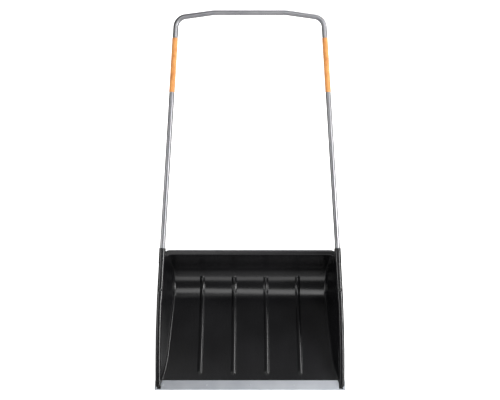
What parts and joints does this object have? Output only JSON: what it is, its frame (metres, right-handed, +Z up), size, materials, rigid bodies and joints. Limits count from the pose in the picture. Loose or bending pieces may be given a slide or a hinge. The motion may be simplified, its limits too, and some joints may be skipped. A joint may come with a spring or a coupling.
{
  "type": "wheeled snow shovel",
  "caption": "Wide snow push scoop with a ribbed moulded tray, metal cutting edge, bent tube handle with sleeve grips and small wheels behind the back wall.",
  "frame": {"origin": "on the ground, in the middle of the flat underside of the tray's floor", "axes": "+X across the object to the user's right when seen from the cutting edge, +Y from the cutting edge to the handle, +Z up"},
  "size_m": [0.72, 1.219, 0.7749],
  "materials": {
    "scoop_plastic": "fine moulded grain with a satin sheen",
    "edge_metal": "mill finish, brushed along the edge",
    "rivet_metal": "smooth",
    "handle_aluminium": "satin drawn tube",
    "grip_orange": "mottled soft sleeve",
    "plug_plastic": "moulded",
    "zinc_steel": "zinc plated",
    "fork_steel": "black powder coat",
    "hub_plastic": "moulded",
    "tyre_rubber": "solid rubber",
    "bearing_plastic": "smooth natural nylon"
  },
  "bodies": {
    "frame": {"scoop": "scoop_plastic", "cutting_edge": "edge_metal", "edge_rivets": "rivet_metal", "handle_tube": "handle_aluminium", "handle_screws": "zinc_steel", "thrust_washers": "bearing_plastic", "fork_screws": "zinc_steel", "grip_right": "grip_orange", "tube_plug_right": "plug_plastic", "wheel_fork_right": "fork_steel", "axle_pin_right": "zinc_steel", "axle_clip_right": "zinc_steel", "grip_left": "grip_orange", "tube_plug_left": "plug_plastic", "wheel_fork_left": "fork_steel", "axle_pin_left": "zinc_steel", "axle_clip_left": "zinc_steel"},
    "wheel_right": {"wheel_hub_right": "hub_plastic", "tyre_right": "tyre_rubber", "bush_outer_right": "bearing_plastic", "bush_inner_right": "bearing_plastic"},
    "wheel_left": {"wheel_hub_left": "hub_plastic", "tyre_left": "tyre_rubber", "bush_outer_left": "bearing_plastic", "bush_inner_left": "bearing_plastic"}
  },
  "joints": [
    {"name": "wheel_right_spin", "type": "hinge", "parent": "frame", "child": "wheel_right", "pos_m": [0.25, 0.309, 0.04], "axis": [1, 0, 0], "continuous": true},
    {"name": "wheel_left_spin", "type": "hinge", "parent": "frame", "child": "wheel_left", "pos_m": [-0.25, 0.309, 0.04], "axis": [1, 0, 0], "continuous": true}
  ]
}
